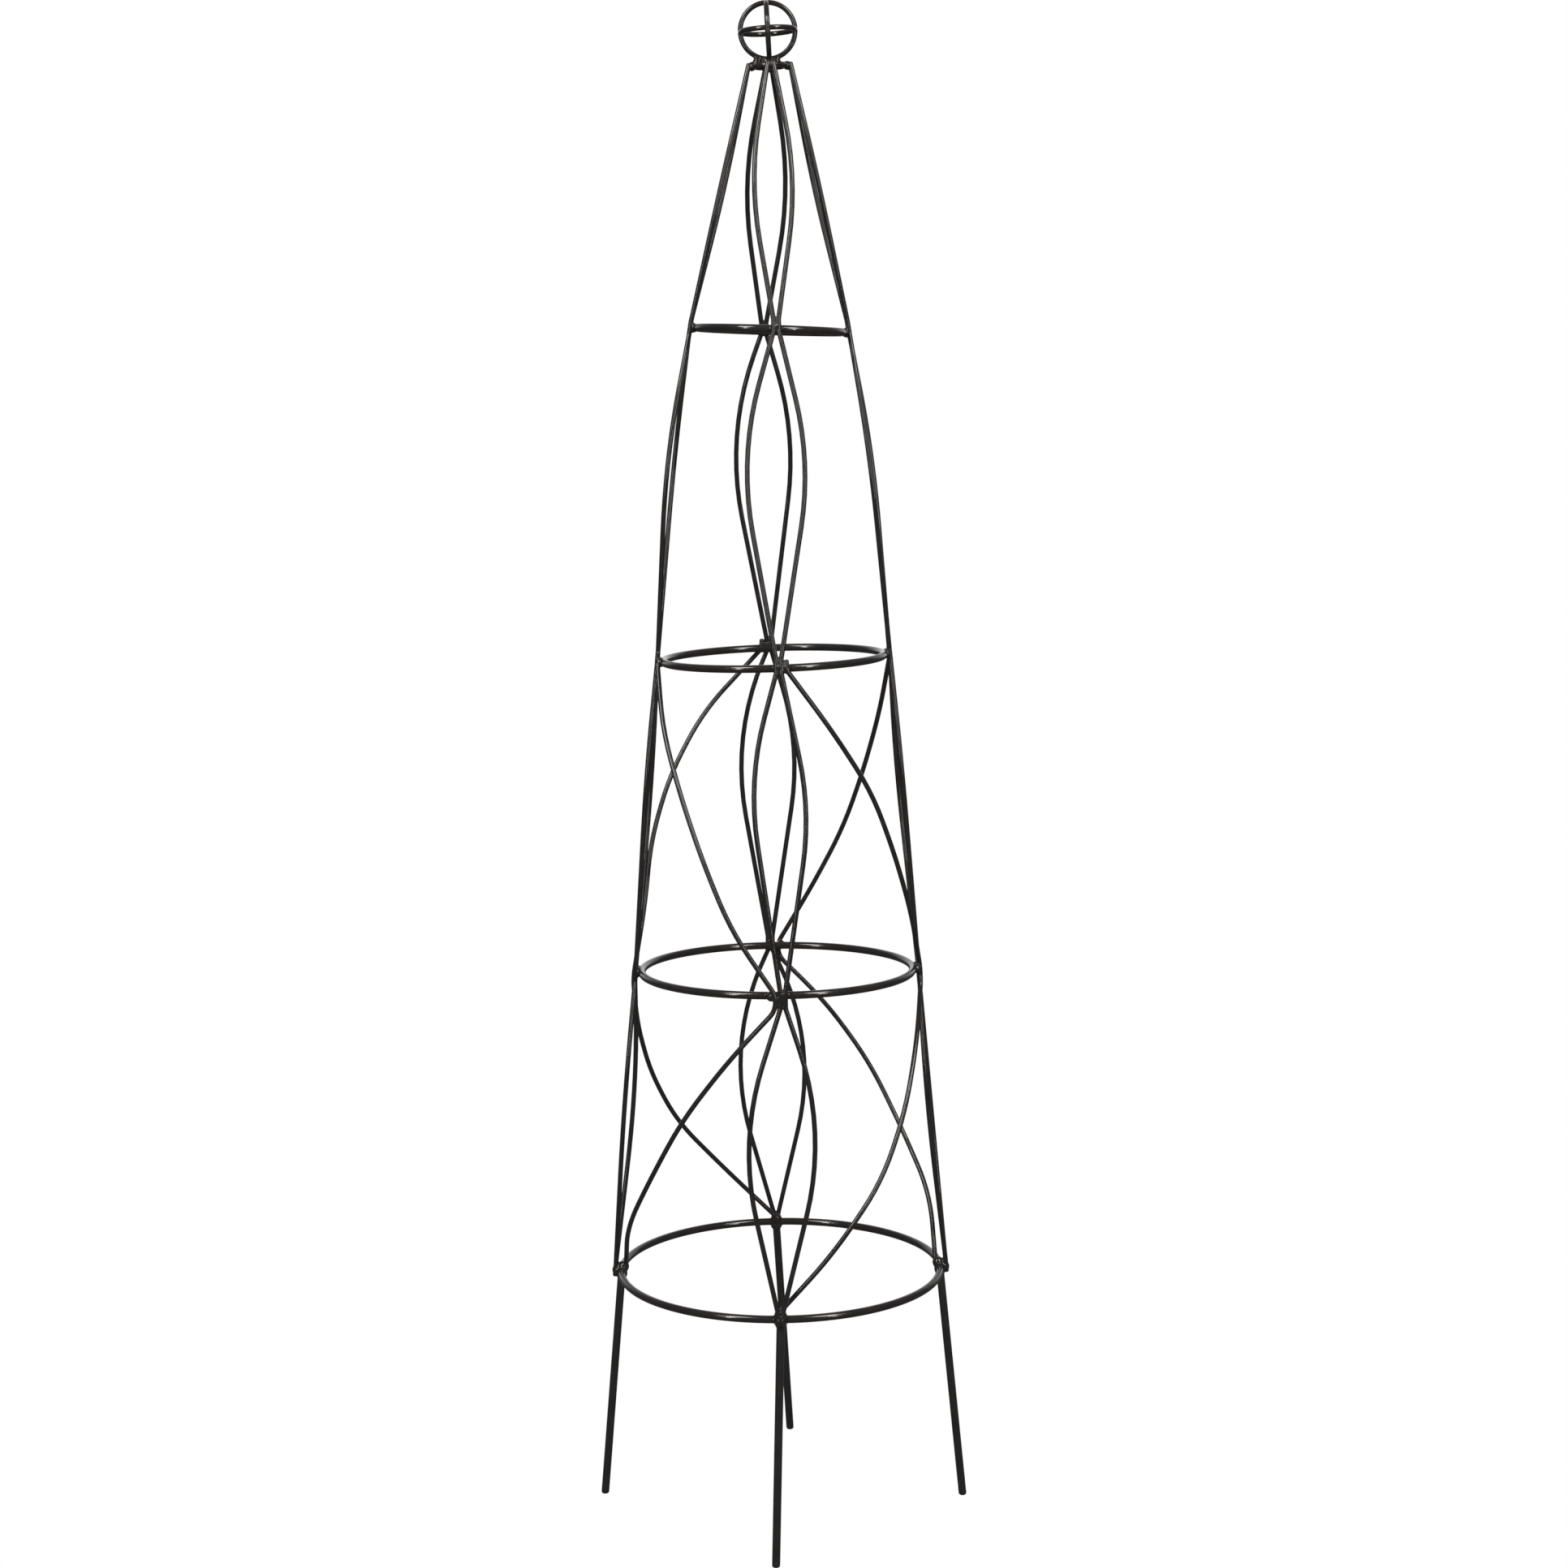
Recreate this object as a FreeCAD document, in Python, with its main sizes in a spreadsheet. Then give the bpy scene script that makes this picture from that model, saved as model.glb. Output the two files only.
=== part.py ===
import FreeCAD, Part
import math
import os

# A garden obelisk: a tall, tapering climbing frame for plants, welded from round steel wire.
#
# Five rings stand one above another. A pair of leaf wires runs down the outside of the rings at
# each of the four corners; the two wires of a pair touch at the rings and bow apart between them.
# A scroll wire starts at each corner of the middle ring, winds to the next corner at the lower
# ring, turns back there and ends on the base ring under the corner where it began. Four legs
# stand under the base ring, and a ball of three hoops sits on the top ring. Everything is welded.
#
# Millimetres. The origin is on the ground under the middle, +Z is up and the front looks to -Y.
# A turn is an angle about the vertical from the front corner, counter-clockwise seen from above.

CORNER_TURN = {"front": 0, "right": 90, "back": 180, "left": 270}
LEVELS = ["top", "upper", "middle", "lower", "base"]

SIZES = {
    "total_height": 1500,
    "leaf_wire": 4.8,
    "scroll_wire": 4.8,
    "leg_rod": 8.0,
    "weld_gap": 0.1,
    "weld_cut": 0.05,
    "wire_tip_rounding": 1.9,
    "leg_tip_rounding": 2.2,
    "feet_radius": 184.7,
    "feet_turn": -2.5,
    "hoop_radius": 26.4,
    "hoop_wire": 4.9,
    "hoop_lean": 2.8,
    "seat_bar": 4.8,
    "weld_radius": 5.0,
    "leg_weld_radius": 6.0,
    "top_weld_radius": 4.5,
}

# Each ring: centreline radius, height of its middle, wire, turn of its corners, sideways shift and
# the slopes of its plane towards +X and +Y (the frame is bent and welded by hand).
RING_SIZES = {
    "top": {"radius": 14.8, "height": 1438.0, "wire": 5.0, "turn": 2.7, "shift": 2.7,
            "slope_x": 0.03, "slope_y": 0.0},
    "upper": {"radius": 71.5, "height": 1187.0, "wire": 7.5, "turn": 4.5, "shift": 0.0,
              "slope_x": -0.042, "slope_y": 0.0},
    "middle": {"radius": 109.1, "height": 866.5, "wire": 7.5, "turn": 2.3, "shift": 0.0,
               "slope_x": 0.021, "slope_y": 0.0},
    "lower": {"radius": 136.1, "height": 552.0, "wire": 7.5, "turn": 2.9, "shift": 0.0,
              "slope_x": 0.0, "slope_y": -0.0185},
    "base": {"radius": 162.5, "height": 241.5, "wire": 7.5, "turn": 0.2, "shift": 0.0,
             "slope_x": 0.0, "slope_y": 0.0},
}

# Each bow of the leaf wires, from the top down: half the gap between the two wires at the bend,
# the bend's place between its two rings (0 at the ring above, 1 at the ring below), the radius
# of the bend, and how far it bulges out from the straight line between the rings.
BOW_SIZES = [
    {"gap": 21.1, "place": 0.438, "bend": 359, "bulge": 3.7},
    {"gap": 32.8, "place": 0.385, "bend": 311, "bulge": 6.0},
    {"gap": 29.6, "place": 0.341, "bend": 298, "bulge": 1.0},
    {"gap": 41.2, "place": 0.393, "bend": 290, "bulge": 1.0},
]

# The pairs at the left and right were bent a little askew. For each bow: the change of its bulge,
# and how far its gap is turned off the ring's tangent.
ASKEW = {
    "left": [(-4.7, -7.4), (1.1, -8.4), (-0.9, -5.9), (-4.3, -8.0)],
    "right": [(-4.2, 2.5), (0.8, -7.9), (-2.2, 1.0), (-3.4, -6.5)],
}

# Bows that were bent unlike their neighbours: corner, side, bow -> change of gap and of place.
BOW_CHANGES = {
    ("front", -1, 0): (-0.7, 0.012),
    ("front", 1, 0): (-0.6, 0.006),
    ("front", -1, 1): (1.6, -0.009),
    ("front", 1, 1): (-3.4, 0.008),
    ("front", -1, 2): (-1.1, -0.002),
    ("front", 1, 2): (-3.3, 0.092),
    ("front", -1, 3): (-1.9, 0.051),
    ("front", 1, 3): (-0.3, 0.024),
    ("back", -1, 0): (1.0, 0.003),
    ("back", 1, 0): (0.3, -0.012),
    ("back", -1, 1): (-3.9, -0.062),
    ("back", 1, 1): (5.0, -0.062),
    ("back", -1, 2): (0.3, -0.009),
    ("back", 1, 2): (7.6, -0.048),
    ("back", -1, 3): (5.0, -0.030),
    ("back", 1, 3): (8.1, -0.042),
}

# Pairs that were welded on a little round the ring from where they belong: level, corner -> turn.
CORNER_SLIPS = {("lower", "front"): -0.9, ("base", "front"): -0.5, ("base", "back"): 1.3}

# How far above and below the middle of each ring a pair's wires run straight and touching.
TOUCHING = {"upper": (9, 2), "middle": (9, 4), "lower": (7, 9), "base": (8, 6)}

# The scroll wires between two rings, at fifths of the way down: the turn from the corner where
# the wire starts, and how far it stands out from the straight line between the rings.
SCROLL_DOWN = [(24.0, 0.3), (41.5, 1.8), (56.5, 3.6), (70.2, 2.3)]
SCROLL_BACK = [(68.5, -0.8), (50.7, 3.2), (37.2, 2.6), (18.2, -0.4)]

# What each scroll wire adds to those turns, on its way down and on its way back, and how far
# round from its own corner it turns back, beside the next pair of leaf wires.
SCROLL_CHANGES = {
    "front": {"down": (1.0, 3.0, -0.3, -0.2), "back": (-0.8, 0.1, -0.2, -0.3), "bend": 89.4},
    "right": {"down": (1.8, 0.7, -0.3, 1.4), "back": (-1.0, -0.2, -0.3, -1.2), "bend": 88.8},
    "back": {"down": (11.1, 13.8, 10.8, 0.6), "back": (6.3, 5.3, 2.8, 1.0), "bend": 88.2},
    "left": {"down": (-0.7, 0.6, 0.0, -1.2), "back": (0.2, 0.4, 0.0, 1.6), "bend": 88.5},
}

doc = FreeCAD.newDocument("GardenObelisk")
sheet = doc.addObject("Spreadsheet::Sheet", "Sizes")
sub_parts = []


def fill_sheet():
    """Write every driving dimension into the sheet, one row each, under its own alias."""
    rows = dict(SIZES)
    for level, values in RING_SIZES.items():
        for name, value in values.items():
            rows[f"{level}_ring_{name}"] = value
    for number, values in enumerate(BOW_SIZES):
        for name, value in values.items():
            rows[f"bow_{'abcd'[number]}_{name}"] = value
    for row, (alias, value) in enumerate(rows.items(), 1):
        sheet.set(f"A{row}", alias.replace("_", " "))
        sheet.set(f"B{row}", str(value))
        sheet.setAlias(f"B{row}", alias)
    doc.recompute()


def size(alias):
    return float(sheet.get(alias))


def ring(level, name):
    return size(f"{level}_ring_{name}")


def bow(number, name):
    return size(f"bow_{'abcd'[number]}_{name}")


def vector(*numbers):
    return FreeCAD.Vector(*numbers)


def outward(turn):
    angle = math.radians(turn)
    return vector(math.sin(angle), -math.cos(angle), 0)


def sideways(turn):
    angle = math.radians(turn)
    return vector(math.cos(angle), math.sin(angle), 0)


def between(above, below, place):
    return above + (below - above) * place


def at_ring(level, turn, out, along=0.0, lift=0.0):
    """The point at a turn of a ring, so far out from its centreline, along its tangent and above."""
    point = outward(turn) * (ring(level, "radius") + out) + sideways(turn) * along
    rise = ring(level, "slope_x") * point.x + ring(level, "slope_y") * point.y
    return point + vector(ring(level, "shift"), 0, ring(level, "height") + rise + lift)


def corner(level, name):
    return CORNER_TURN[name] + ring(level, "turn") + CORNER_SLIPS.get((level, name), 0)


def clear_of_ring(level, wire):
    """From a ring's centreline to the centreline of a wire that lies against it."""
    return ring(level, "wire") / 2 + wire / 2 + size("weld_gap")


def taper(level):
    """How much the frame widens for each millimetre downwards, between the neighbouring rings."""
    number = LEVELS.index(level)
    above = LEVELS[number - 1]
    below = LEVELS[min(number + 1, len(LEVELS) - 1)]
    widening = ring(below, "radius") - ring(above, "radius")
    return widening / (ring(above, "height") - ring(below, "height"))


def against_ring(level, name, aside, rise):
    """A point where a wire of a corner lies against a ring, so far above the ring's middle height."""
    turn = corner(level, name)
    contact = at_ring(level, turn, clear_of_ring(level, size("leaf_wire")), aside)
    lift = ring(level, "height") + rise - contact.z
    return contact + vector(0, 0, lift) - outward(turn) * taper(level) * lift


def bent_path(points, radii):
    """Straight runs between the points, joined by arcs. A radius of None is as large as fits."""
    edges = []
    start = points[0]
    for before, bend, after, radius in zip(points, points[1:], points[2:], radii):
        shorter_run = min(before.distanceToPoint(bend), after.distanceToPoint(bend))
        back = (before - bend).normalize()
        ahead = (after - bend).normalize()
        half_turn = (math.pi - back.getAngle(ahead)) / 2
        if radius is None:
            radius = 0.45 * shorter_run / math.tan(half_turn)
        setback = radius * math.tan(half_turn)
        inward = (back + ahead).normalize()
        enter = bend + back * setback
        leave = bend + ahead * setback
        middle = bend + inward * radius * (1 / math.cos(half_turn) - 1)
        edges.append(Part.LineSegment(start, enter).toShape())
        edges.append(Part.Arc(enter, middle, leave).toShape())
        start = leave
    edges.append(Part.LineSegment(start, points[-1]).toShape())
    return Part.Wire(edges)


def round_wire(path, diameter):
    """A solid round wire along the path, with both tips rounded over."""
    first = path.OrderedEdges[0]
    start = first.valueAt(first.FirstParameter)
    section = Part.Wire(Part.makeCircle(diameter / 2, start, first.tangentAt(first.FirstParameter)))
    solid = path.makePipeShell([section], True, False)
    expected = math.pi * diameter ** 2 / 4 * path.Length
    if abs(solid.Volume / expected - 1) > 0.005:
        raise ValueError(f"a wire of volume {solid.Volume:.0f} should have {expected:.0f}")
    ends = (path.OrderedVertexes[0].Point, path.OrderedVertexes[-1].Point)
    tips = []
    for edge in solid.Edges:
        centre = edge.CenterOfMass
        if any(centre.distanceToPoint(end) < 0.01 for end in ends):
            tips.append(edge)
    return solid.makeFillet(size("wire_tip_rounding"), tips)


def primitive(kind, label, **expressions):
    """A primitive of the document whose sizes are bound to expressions of the sheet."""
    item = doc.addObject(kind, label)
    item.Label = label
    for name, expression in expressions.items():
        item.setExpression(name, expression)
    return item


def keep(item):
    """Count an object among the sub-parts, which are written out at the end."""
    sub_parts.append(item)
    return item


def shaped(label, shape):
    item = doc.addObject("Part::Feature", label)
    item.Label = label
    item.Shape = shape
    item.Placement = FreeCAD.Placement()
    return keep(item)


def cut(label, base, tools):
    """The base with every tool taken away."""
    tool = tools[0]
    if len(tools) > 1:
        tool = doc.addObject("Part::Compound", label + "_tools")
        tool.Links = tools
    item = doc.addObject("Part::Cut", label)
    item.Label = label
    item.Base = base
    item.Tool = tool
    return item


def ring_torus(level, label, extra="0"):
    """A ring of one level, its wire thicker by twice the extra."""
    item = primitive(
        "Part::Torus", label,
        Radius1=f"Sizes.{level}_ring_radius",
        Radius2=f"Sizes.{level}_ring_wire / 2 + {extra}",
    )
    normal = vector(-ring(level, "slope_x"), -ring(level, "slope_y"), 1)
    tilt = FreeCAD.Rotation(vector(0, 0, 1), normal)
    item.Placement = FreeCAD.Placement(vector(0, 0, 0), tilt)
    item.setExpression("Placement.Base.x", f"Sizes.{level}_ring_shift")
    item.setExpression("Placement.Base.z", f"Sizes.{level}_ring_height")
    return item


def make_rings():
    return {level: keep(ring_torus(level, f"{level}_ring")) for level in LEVELS}


def leaf_shape(name, side):
    """One leaf wire of a corner's pair: four bows, held at the rings."""
    wire = size("leaf_wire")
    apart = side * (wire + size("weld_gap")) / 2
    contact_bend = 12
    top_out = clear_of_ring("top", wire)
    points = [at_ring("top", corner("top", name), top_out, apart, 3)]
    radii = []
    for number, (above, below) in enumerate(zip(LEVELS, LEVELS[1:])):
        more_gap, lower = BOW_CHANGES.get((name, side, number), (0, 0))
        place = bow(number, "place") + lower
        high = at_ring(above, corner(above, name), clear_of_ring(above, wire))
        low = at_ring(below, corner(below, name), clear_of_ring(below, wire))
        turn = between(corner(above, name), corner(below, name), place)
        more_bulge, skew = ASKEW[name][number] if name in ASKEW else (0, 0)
        width = bow(number, "gap") + more_gap + wire / 2
        bulge = bow(number, "bulge") + more_bulge
        middle = between(high, low, place) + outward(turn) * bulge
        points.append(middle + sideways(turn + skew) * side * width)
        radii.append(bow(number, "bend"))
        reach_up, reach_down = TOUCHING[below]
        points.append(against_ring(below, name, apart, reach_up))
        points.append(against_ring(below, name, apart, -reach_down))
        radii += [contact_bend, contact_bend]
    return round_wire(bent_path(points, radii), wire)


def make_leaves():
    """The eight leaf wires, each named after its corner and the side of the corner it is on."""
    neighbour = {
        ("front", -1): "left", ("front", 1): "right", ("right", -1): "front", ("right", 1): "back",
        ("back", -1): "right", ("back", 1): "left", ("left", -1): "back", ("left", 1): "front",
    }
    leaves = {}
    for (name, side), towards in neighbour.items():
        leaves[name, side] = shaped(f"leaf_{name}_{towards}", leaf_shape(name, side))
    return leaves


def scroll_run(path, changes, levels, starts, outs):
    """The points of a scroll wire between two rings: turns and distances out at each of them."""
    points = []
    for number, ((turn, out), change) in enumerate(zip(path, changes), 1):
        place = number / (len(path) + 1)
        around = between(starts[0], starts[1], place) + turn + change
        high = at_ring(levels[0], around, outs[0] + out)
        low = at_ring(levels[1], around, outs[1] + out)
        points.append(between(high, low, place))
    return points


def scroll_shape(name):
    """One scroll wire: from its own corner to the next and back, to the base ring's inner edge."""
    wire = size("scroll_wire")
    changes = SCROLL_CHANGES[name]
    beside_pair = 1.5 * size("leaf_wire") + 3 * size("weld_gap")
    start = corner("middle", name)
    far = CORNER_TURN[name] + ring("lower", "turn")
    end = corner("base", name)
    outs = {level: clear_of_ring(level, wire) for level in ("middle", "lower", "base")}
    points = [
        against_ring("middle", name, beside_pair, 9),
        against_ring("middle", name, beside_pair, -1),
    ]
    points += scroll_run(SCROLL_DOWN, changes["down"], ("middle", "lower"), (start, far),
                         (outs["middle"], outs["lower"]))
    points.append(at_ring("lower", far + changes["bend"], outs["lower"] + 2.8, 0, -7))
    points += scroll_run(SCROLL_BACK, changes["back"], ("lower", "base"), (far, end),
                         (outs["lower"], outs["base"]))
    points.append(at_ring("base", end - 0.6, -0.74 * outs["base"], 0, 0.72 * outs["base"]))
    free_bends = [None] * len(SCROLL_DOWN)
    radii = [9] + free_bends + [21] + free_bends
    return round_wire(bent_path(points, radii), wire)


def make_scrolls():
    return {name: shaped(f"scroll_{name}", scroll_shape(name)) for name in CORNER_TURN}


def make_leg(name):
    """A straight leg under the base ring, cut level at the ground and rounded at its foot."""
    radius = size("leg_rod") / 2
    under_ring = -ring("base", "wire") / 2 - size("weld_gap")
    head = at_ring("base", corner("base", name), 0, 0, under_ring)
    foot = outward(CORNER_TURN[name] + size("feet_turn")) * size("feet_radius")
    run = foot - head
    lean = FreeCAD.Rotation(vector(0, 0, 1), run)
    spare = 2 * radius
    rod = primitive("Part::Cylinder", f"rod_{name}", Radius="Sizes.leg_rod / 2")
    rod.Height = run.Length + spare
    rod.Placement = FreeCAD.Placement(head, lean)
    ground = primitive("Part::Box", f"ground_{name}")
    ground.Length = 8 * radius
    ground.Width = 8 * radius
    ground.Height = 4 * radius
    ground.Placement = FreeCAD.Placement(foot - vector(4 * radius, 4 * radius, 4 * radius),
                                         FreeCAD.Rotation())
    trimmed = cut(f"trimmed_{name}", rod, [ground])
    doc.recompute()
    foot_edges = []
    for number, edge in enumerate(trimmed.Shape.Edges, 1):
        if edge.BoundBox.ZMax < 0.001:
            foot_edges.append((number, size("leg_tip_rounding"), size("leg_tip_rounding")))
    leg = doc.addObject("Part::Fillet", f"leg_{name}")
    leg.Label = f"leg_{name}"
    leg.Base = trimmed
    leg.Edges = foot_edges
    return keep(leg)


def hoop_torus(label, placement, extra="0"):
    item = primitive(
        "Part::Torus", label,
        Radius1="Sizes.hoop_radius",
        Radius2=f"Sizes.hoop_wire / 2 + {extra}",
    )
    item.Placement = placement
    return item


def make_finial():
    """The ball of three equal hoops, leaning to the left, on a bar across the top ring."""
    outer = size("hoop_radius") + size("hoop_wire") / 2
    lean = FreeCAD.Rotation(vector(0, 1, 0), -size("hoop_lean"))
    aside = ring("top", "shift") - outer * math.sin(math.radians(size("hoop_lean")))
    middle = vector(aside, 0, size("total_height") - outer)
    facing = {
        "front": FreeCAD.Rotation(vector(1, 0, 0), 90),
        "side": FreeCAD.Rotation(vector(0, 1, 0), 90),
        "equator": FreeCAD.Rotation(),
    }
    place = {name: FreeCAD.Placement(middle, lean * turn) for name, turn in facing.items()}
    margin = "Sizes.weld_cut"
    front = keep(hoop_torus("finial_hoop_front", place["front"]))
    front_cutter = hoop_torus("front_hoop_cutter", place["front"], margin)
    side_cutter = hoop_torus("side_hoop_cutter", place["side"], margin)
    side_whole = hoop_torus("side_hoop_whole", place["side"])
    equator_whole = hoop_torus("equator_whole", place["equator"])
    side = keep(cut("finial_hoop_side", side_whole, [front_cutter]))
    first_cut = cut("equator_halves", equator_whole, [front_cutter])
    equator = keep(cut("finial_equator", first_cut, [side_cutter]))

    radius = size("seat_bar") / 2
    length = 2 * ring("top", "radius")
    seat_height = size("total_height") - 2 * outer - radius
    bar = primitive("Part::Cylinder", "seat_bar_whole", Radius="Sizes.seat_bar / 2")
    bar.Height = length
    bar.Placement = FreeCAD.Placement(
        vector(ring("top", "shift") - length / 2, 0, seat_height - size("weld_gap")),
        FreeCAD.Rotation(vector(0, 1, 0), 90),
    )
    seat = keep(cut("finial_bar", bar, [ring_torus("top", "top_ring_cutter", margin)]))
    return [front, side, equator, seat]


def weld(label, centres, turn, radius_name, neighbours):
    """Weld metal at a joint: balls around the centres, without the wires that they join."""
    poles_level = FreeCAD.Rotation(vector(0, 0, 1), turn + 45) * FreeCAD.Rotation(vector(0, 1, 0), 90)
    balls = []
    for number, centre in enumerate(centres):
        ball = primitive("Part::Sphere", f"{label}_ball_{number}", Radius=f"Sizes.{radius_name}")
        ball.Placement = FreeCAD.Placement(centre, poles_level)
        balls.append(ball)
    metal = balls[0]
    if len(balls) > 1:
        metal = doc.addObject("Part::MultiFuse", f"{label}_balls")
        metal.Shapes = balls
    return keep(cut(label, metal, neighbours))


def make_corner_weld(level, name, rings, leaves, scrolls, legs):
    """The weld that holds a corner's leaf wires, and any scroll or leg that ends or turns there."""
    names = list(CORNER_TURN)
    arriving = scrolls[names[names.index(name) - 1]]
    wire = size("leaf_wire")
    turn = corner(level, name)
    surface = ring(level, "wire") / 2
    centres = [at_ring(level, turn, surface)]
    neighbours = [rings[level], leaves[name, -1], leaves[name, 1]]
    radius_name = "weld_radius"
    if level == "middle":
        centres.append(at_ring(level, turn, surface, 1.5 * wire))
        neighbours.append(scrolls[name])
    if level == "lower":
        centres.append(at_ring(level, turn, surface, -2.3 * wire))
        neighbours.append(arriving)
    if level == "base":
        centres.append(at_ring(level, turn, 0, 0, -surface))
        centres.append(at_ring(level, turn, -surface / 2, 0, surface))
        neighbours += [scrolls[name], legs[name]]
        radius_name = "leg_weld_radius"
    weld(f"weld_{level}_{name}", centres, turn, radius_name, neighbours)


def make_top_weld(rings, leaves, finial):
    """The weld around the top ring: at the tips of the leaf wires and along the foot of the ball."""
    surface = ring("top", "wire") / 2
    centres = [at_ring("top", corner("top", name), surface) for name in CORNER_TURN]
    foot_height = size("total_height") - 2 * size("hoop_radius") - size("hoop_wire")
    for aside in (-9, 0, 9):
        centres.append(vector(aside, 0, foot_height))
    neighbours = [rings["top"]] + list(leaves.values()) + finial
    weld("weld_top", centres, 15, "top_weld_radius", neighbours)


fill_sheet()
rings = make_rings()
leaves = make_leaves()
scrolls = make_scrolls()
legs = {name: make_leg(name) for name in CORNER_TURN}
finial = make_finial()
make_top_weld(rings, leaves, finial)
for level in LEVELS[1:]:
    for name in CORNER_TURN:
        make_corner_weld(level, name, rings, leaves, scrolls, legs)
doc.recompute()

for item in doc.Objects:
    if "Invalid" in item.State or "Error" in item.State:
        raise RuntimeError(f"{item.Label} did not compute: {item.State}")
for item in sub_parts:
    if item.Shape.isNull() or not item.Shape.isValid():
        raise RuntimeError(f"{item.Label} has no valid shape")

os.makedirs("parts", exist_ok=True)
for item in sub_parts:
    item.Shape.exportStep(f"parts/{item.Label}.step")
    solids = item.Shape.Solids
    print(f"{item.Label}: {len(solids)} solid(s), {item.Shape.Volume:.0f} mm3")
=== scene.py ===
import math
import bmesh
import bpy
import numpy as np
from mathutils import Matrix, Vector, noise


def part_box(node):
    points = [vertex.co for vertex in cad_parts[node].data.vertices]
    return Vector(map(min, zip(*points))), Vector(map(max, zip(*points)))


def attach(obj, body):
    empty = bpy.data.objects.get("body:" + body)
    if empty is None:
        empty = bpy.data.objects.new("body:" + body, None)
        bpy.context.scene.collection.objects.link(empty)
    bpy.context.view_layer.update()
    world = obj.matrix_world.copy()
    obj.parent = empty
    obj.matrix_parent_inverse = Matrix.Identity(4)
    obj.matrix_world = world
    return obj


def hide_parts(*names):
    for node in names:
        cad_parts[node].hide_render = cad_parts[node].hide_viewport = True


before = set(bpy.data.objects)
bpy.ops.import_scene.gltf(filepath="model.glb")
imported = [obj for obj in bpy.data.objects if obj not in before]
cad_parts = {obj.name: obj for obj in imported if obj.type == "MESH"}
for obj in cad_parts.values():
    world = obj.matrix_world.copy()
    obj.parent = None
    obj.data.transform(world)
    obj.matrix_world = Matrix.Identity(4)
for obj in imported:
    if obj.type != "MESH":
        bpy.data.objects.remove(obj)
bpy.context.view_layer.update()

scene = bpy.context.scene

# Metres. The corners of the obelisk and the levels of its welds are named as the CAD nodes are.
CORNERS = ("front", "right", "back", "left")

# How far beyond each weld its coating runs along the wires (sideways, up and down), the size of
# the mesh there, and how many times it is smoothed: more rounds the hollows more.
RUN_OUT = {
    "top": {"beyond": (0.004, 0.004, 0.008), "voxel": 0.0005, "smoothing": 26},
    "upper": {"beyond": (0.009, 0.009, 0.014), "voxel": 0.0005, "smoothing": 20},
    "middle": {"beyond": (0.009, 0.009, 0.016), "voxel": 0.0005, "smoothing": 20},
    "lower": {"beyond": (0.012, 0.012, 0.030), "voxel": 0.0005, "smoothing": 22},
    "base": {"beyond": (0.012, 0.012, 0.020), "voxel": 0.0006, "smoothing": 34},
}

# Lumps in the weld under the coating, and ripples in the coating: how fine and how high.
LUMPS = {"fineness": 260, "height": 0.00022}
RIPPLES = {"fineness": 700, "height": 0.00007}

# The lamps: where each stands, seen from the middle of the object (degrees round from the front
# and up), its width and height, and its power in watts. The strips draw the thin lines that run
# down the wires; the boxes light the rings.
LAMPS = {
    "left_soft_box": {"azimuth": -40, "elevation": 46, "size": (0.8, 1.0), "power": 48},
    "left_strip": {"azimuth": -36, "elevation": 16, "size": (0.22, 1.9), "power": 29},
    "right_soft_box": {"azimuth": 40, "elevation": 46, "size": (0.8, 1.0), "power": 48},
    "right_strip": {"azimuth": 36, "elevation": 16, "size": (0.22, 1.9), "power": 29},
}


def add_camera():
    """The camera stands in front, level with the upper half, and looks slightly down."""
    distance = 2.803
    height = 1.133
    pitch = math.radians(7.98)
    yaw = math.radians(0.18)
    roll = math.radians(-0.65)
    data = bpy.data.cameras.new("camera")
    data.lens = 65.2
    data.sensor_width = 36
    camera = bpy.data.objects.new("camera", data)
    scene.collection.objects.link(camera)
    turn = Matrix.Rotation(-yaw, 4, "Z") @ Matrix.Rotation(math.pi / 2 - pitch, 4, "X")
    place = Matrix.Translation((0, -distance, height))
    camera.matrix_world = place @ turn @ Matrix.Rotation(roll, 4, "Z")
    scene.camera = camera


def add_floor():
    """A wide, plain, pale floor under the feet. The camera sees it white, the wires see it dim."""
    half = 20
    mesh = bpy.data.meshes.new("floor")
    outline = [(-half, -half, 0), (half, -half, 0), (half, half, 0), (-half, half, 0)]
    mesh.from_pydata(outline, [], [(0, 1, 2, 3)])
    floor = bpy.data.objects.new("floor", mesh)
    scene.collection.objects.link(floor)
    material = bpy.data.materials.new("floor_paper")
    material.use_nodes = True
    nodes = material.node_tree.nodes
    links = material.node_tree.links
    nodes.remove(nodes["Principled BSDF"])
    dim = nodes.new("ShaderNodeBsdfDiffuse")
    dim.inputs["Color"].default_value = (0.16, 0.16, 0.16, 1)
    white = nodes.new("ShaderNodeEmission")
    white.inputs["Color"].default_value = (1, 1, 1, 1)
    seen = nodes.new("ShaderNodeLightPath")
    paper = nodes.new("ShaderNodeMixShader")
    links.new(seen.outputs["Is Camera Ray"], paper.inputs[0])
    links.new(dim.outputs["BSDF"], paper.inputs[1])
    links.new(white.outputs["Emission"], paper.inputs[2])
    links.new(paper.outputs["Shader"], nodes["Material Output"].inputs["Surface"])
    mesh.materials.append(material)


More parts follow.
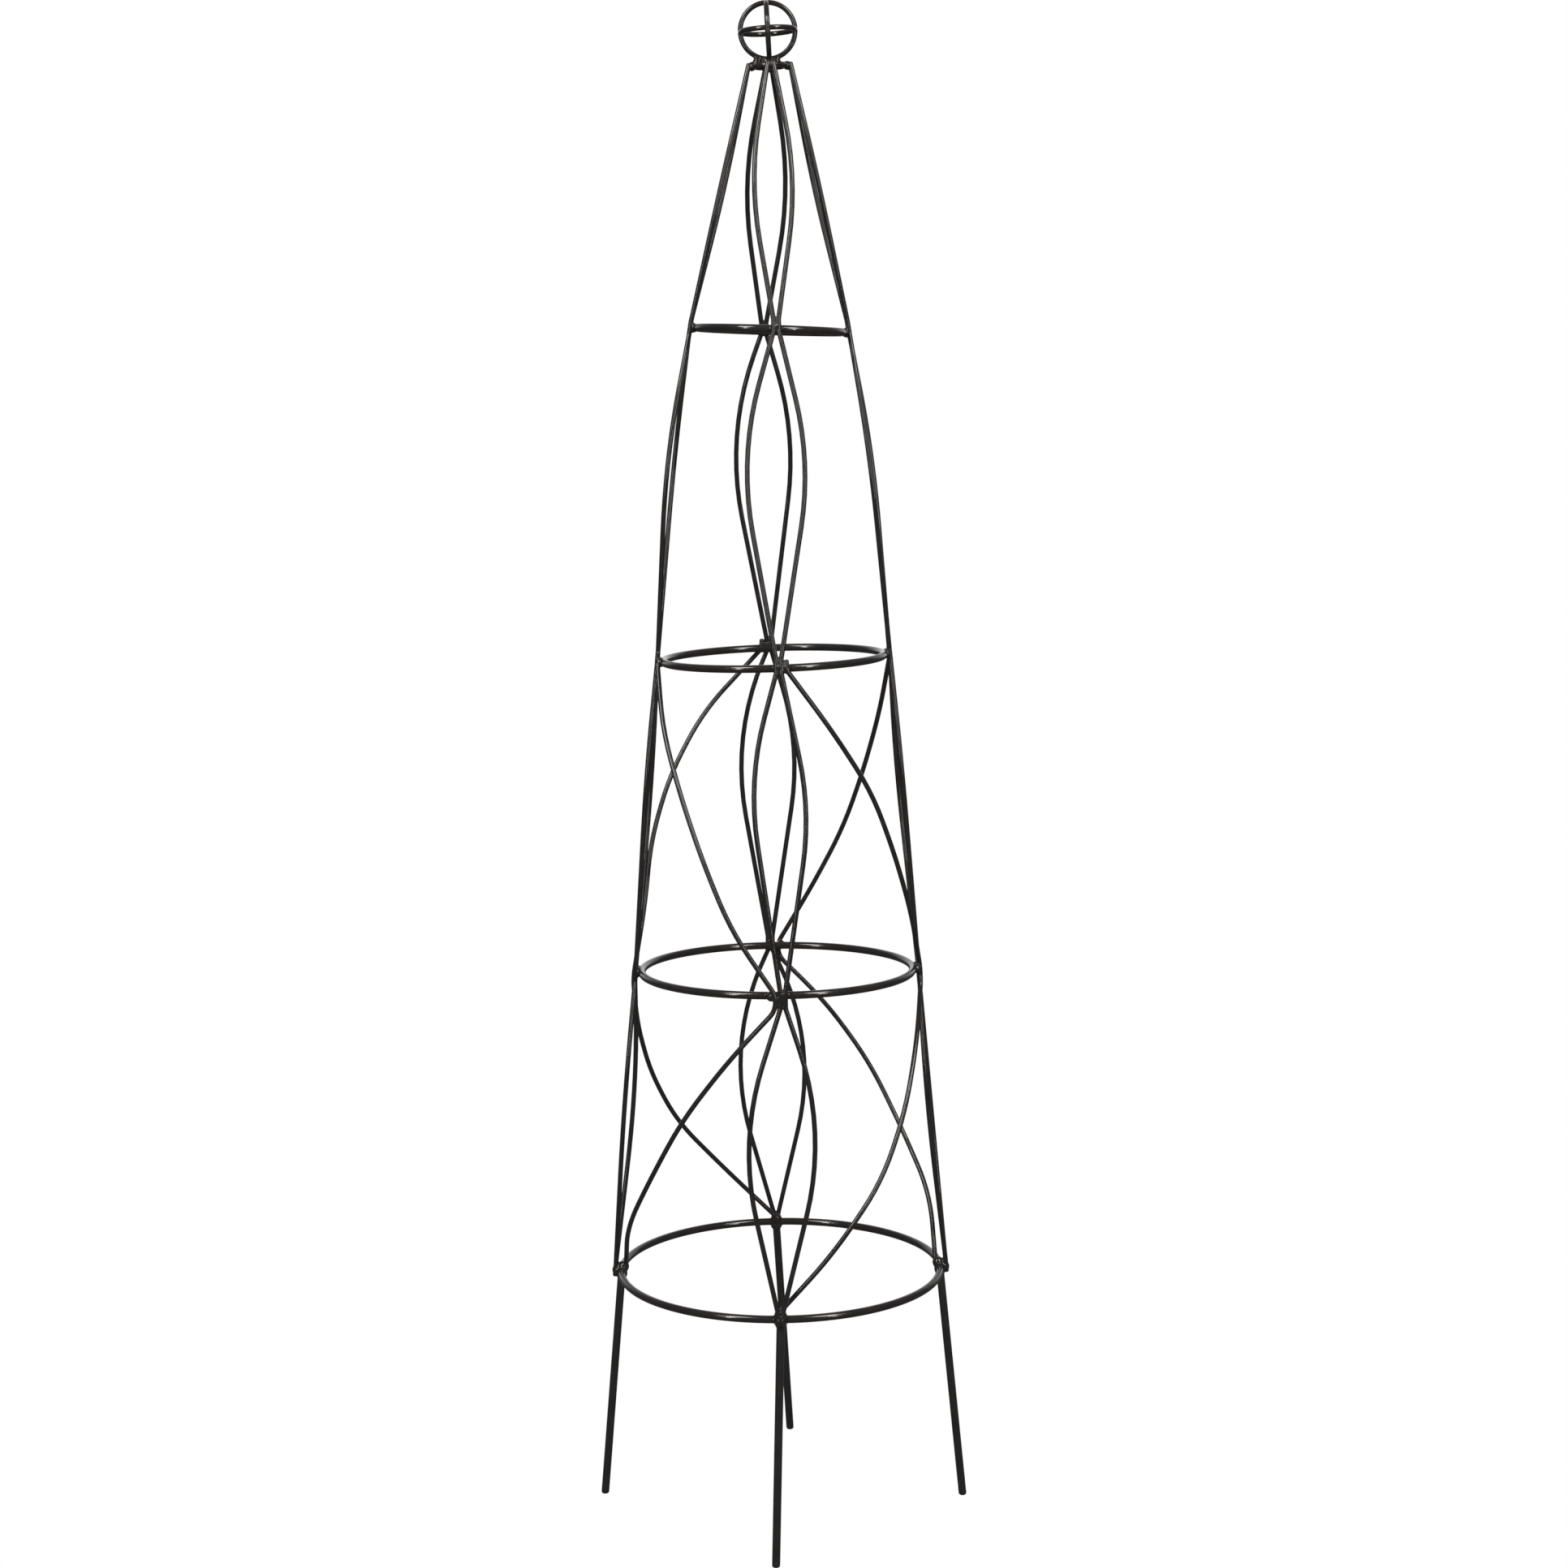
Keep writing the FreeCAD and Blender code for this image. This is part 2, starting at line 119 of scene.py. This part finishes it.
def add_room():
    """A studio that looks white all round, and is bright behind the object and dim in front."""
    world = bpy.data.worlds.new("studio")
    scene.world = world
    world.use_nodes = True
    nodes = world.node_tree.nodes
    links = world.node_tree.links
    room = nodes["Background"]
    direction = nodes.new("ShaderNodeTexCoord")
    parts = nodes.new("ShaderNodeSeparateXYZ")
    links.new(direction.outputs["Generated"], parts.inputs["Vector"])
    depth = nodes.new("ShaderNodeMapRange")
    depth.interpolation_type = "SMOOTHSTEP"
    depth.inputs["From Min"].default_value = 0.45
    depth.inputs["From Max"].default_value = 0.98
    depth.inputs["To Min"].default_value = 0.16
    depth.inputs["To Max"].default_value = 1.0
    links.new(parts.outputs["Y"], depth.inputs["Value"])
    seen = nodes.new("ShaderNodeLightPath")
    light = nodes.new("ShaderNodeMix")
    light.inputs["B"].default_value = 1.0
    links.new(seen.outputs["Is Camera Ray"], light.inputs["Factor"])
    links.new(depth.outputs["Result"], light.inputs["A"])
    links.new(light.outputs["Result"], room.inputs["Strength"])
    room.inputs["Color"].default_value = (1, 1, 1, 1)


def add_lamp(name, values):
    """A soft, slightly warm rectangular lamp in front of the object, that faces its middle."""
    distance = 3.0
    middle = Vector((0, 0, 0.75))
    around = math.radians(values["azimuth"])
    up = math.radians(values["elevation"])
    across = math.sin(around) * math.cos(up)
    forwards = -math.cos(around) * math.cos(up)
    towards = Vector((across, forwards, math.sin(up)))
    data = bpy.data.lights.new(name, "AREA")
    data.shape = "RECTANGLE"
    data.size, data.size_y = values["size"]
    data.energy = values["power"]
    data.color = (1.0, 0.955, 0.90)
    lamp = bpy.data.objects.new(name, data)
    scene.collection.objects.link(lamp)
    lamp.location = middle + towards * distance
    lamp.rotation_euler = (-towards).to_track_quat("-Z", "Y").to_euler()
    lamp.visible_camera = False


def add_noise(tree, place, scale, detail):
    """Noise through the solid, in the object's own coordinates."""
    item = tree.nodes.new("ShaderNodeTexNoise")
    item.inputs["Scale"].default_value = scale
    item.inputs["Detail"].default_value = detail
    tree.links.new(place.outputs["Object"], item.inputs["Vector"])
    return item.outputs["Fac"]


def add_bump(tree, height, strength, distance):
    """A bump of the surface that follows a noise."""
    item = tree.nodes.new("ShaderNodeBump")
    item.inputs["Strength"].default_value = strength
    item.inputs["Distance"].default_value = distance
    tree.links.new(height, item.inputs["Height"])
    return item


def coating():
    """Glossy black dip coating: slight orange peel, uneven gloss, and a faint change of tone."""
    material = bpy.data.materials.new("black_coating")
    material.use_nodes = True
    tree = material.node_tree
    nodes = tree.nodes
    links = tree.links
    shader = nodes["Principled BSDF"]
    shader.inputs["IOR"].default_value = 1.5
    shader.inputs["Specular IOR Level"].default_value = 0.45
    place = nodes.new("ShaderNodeTexCoord")

    tone = nodes.new("ShaderNodeValToRGB")
    tone.color_ramp.elements[0].position = 0.3
    tone.color_ramp.elements[0].color = (0.0120, 0.0112, 0.0115, 1)
    tone.color_ramp.elements[1].position = 0.7
    tone.color_ramp.elements[1].color = (0.0185, 0.0168, 0.0172, 1)
    links.new(add_noise(tree, place, 60, 4), tone.inputs["Fac"])
    links.new(tone.outputs["Color"], shader.inputs["Base Color"])

    gloss = nodes.new("ShaderNodeMapRange")
    gloss.inputs["From Min"].default_value = 0.3
    gloss.inputs["From Max"].default_value = 0.7
    gloss.inputs["To Min"].default_value = 0.10
    gloss.inputs["To Max"].default_value = 0.17
    links.new(add_noise(tree, place, 140, 3), gloss.inputs["Value"])
    links.new(gloss.outputs["Result"], shader.inputs["Roughness"])

    sag = add_bump(tree, add_noise(tree, place, 110, 1), 0.15, 0.0006)
    peel = add_bump(tree, add_noise(tree, place, 520, 2), 0.08, 0.0002)
    links.new(sag.outputs["Normal"], peel.inputs["Normal"])
    links.new(peel.outputs["Normal"], shader.inputs["Normal"])
    return material


def face_corners(mesh):
    """The place of every corner of every face of a mesh of triangles: faces x corners x axes."""
    places = np.empty(len(mesh.vertices) * 3, dtype=np.float32)
    mesh.vertices.foreach_get("co", places)
    corners = np.empty(len(mesh.loops), dtype=np.int32)
    mesh.loops.foreach_get("vertex_index", corners)
    return places.reshape(-1, 3)[corners].reshape(-1, 3, 3)


def trimmed_part(corners, low, high):
    """The part of a surface inside a box, cut off flat at the sides of the box and closed."""
    same_place = 0.000002
    near = (corners.max(axis=1) > low).all(axis=1) & (corners.min(axis=1) < high).all(axis=1)
    places = corners[near].reshape(-1, 3)
    faces = np.arange(len(places)).reshape(-1, 3)
    mesh = bpy.data.meshes.new("trimmed")
    mesh.from_pydata(places.tolist(), [], faces.tolist())
    part = bmesh.new()
    part.from_mesh(mesh)
    bmesh.ops.remove_doubles(part, verts=part.verts, dist=same_place)
    for axis in range(3):
        for limit, direction in ((low, -1), (high, 1)):
            point = Vector((0, 0, 0))
            point[axis] = limit[axis]
            normal = Vector((0, 0, 0))
            normal[axis] = direction
            everything = part.verts[:] + part.edges[:] + part.faces[:]
            bmesh.ops.bisect_plane(part, geom=everything, plane_co=point, plane_no=normal,
                                   clear_outer=True)
    open_edges = [edge for edge in part.edges if edge.is_boundary]
    bmesh.ops.holes_fill(part, edges=open_edges, sides=0)
    part.to_mesh(mesh)
    part.free()
    return mesh


def wires_around(surfaces, low, high):
    """One mesh of every CAD node in a box."""
    joined = bmesh.new()
    for name, corners in surfaces.items():
        node_low, node_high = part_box(name)
        apart = any(node_high[i] < low[i] or node_low[i] > high[i] for i in range(3))
        if not apart:
            mesh = trimmed_part(corners, low, high)
            joined.from_mesh(mesh)
            bpy.data.meshes.remove(mesh)
    mesh = bpy.data.meshes.new("wires_around")
    joined.to_mesh(mesh)
    joined.free()
    return mesh


def with_modifiers(piece):
    """The piece's mesh with its modifiers applied."""
    bpy.context.view_layer.update()
    finished = piece.evaluated_get(bpy.context.evaluated_depsgraph_get())
    mesh = bpy.data.meshes.new_from_object(finished)
    piece.modifiers.clear()
    piece.data = mesh


def roughen(mesh):
    """Push every point of a mesh in or out a little, by the lumps and the ripples."""
    outwards = [normal.vector.copy() for normal in mesh.vertex_normals]
    places = []
    for point, out in zip(mesh.vertices, outwards):
        lump = noise.noise(point.co * LUMPS["fineness"]) * LUMPS["height"]
        ripple = noise.noise(point.co * RIPPLES["fineness"]) * RIPPLES["height"]
        places.extend(point.co + out * (lump + ripple))
    mesh.vertices.foreach_set("co", places)
    mesh.update()


def add_joint(node, level, surfaces, material):
    """The coated weld at one joint: it bridges the wires and fills the hollows between them."""
    values = RUN_OUT[level]
    node_low, node_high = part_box(node)
    low = [node_low[i] - values["beyond"][i] for i in range(3)]
    high = [node_high[i] + values["beyond"][i] for i in range(3)]
    name = "joint" + node.removeprefix("weld")
    piece = bpy.data.objects.new(name, wires_around(surfaces, low, high))
    scene.collection.objects.link(piece)
    skin = piece.modifiers.new("skin", "REMESH")
    skin.mode = "VOXEL"
    skin.voxel_size = values["voxel"]
    rounding = piece.modifiers.new("rounding", "SMOOTH")
    rounding.factor = 0.5
    rounding.iterations = values["smoothing"]
    with_modifiers(piece)
    roughen(piece.data)
    piece.data.polygons.foreach_set("use_smooth", [True] * len(piece.data.polygons))
    piece.data.materials.clear()
    piece.data.materials.append(material)
    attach(piece, "root")
    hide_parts(node)


add_camera()
add_floor()
add_room()
for name, values in LAMPS.items():
    add_lamp(name, values)
scene.view_settings.view_transform = "Standard"

black = coating()
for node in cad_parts.values():
    node.data.materials.clear()
    node.data.materials.append(black)
surfaces = {name: face_corners(node.data) for name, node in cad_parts.items()}
add_joint("weld_top", "top", surfaces, black)
for level in ("upper", "middle", "lower", "base"):
    for corner in CORNERS:
        add_joint(f"weld_{level}_{corner}", level, surfaces, black)
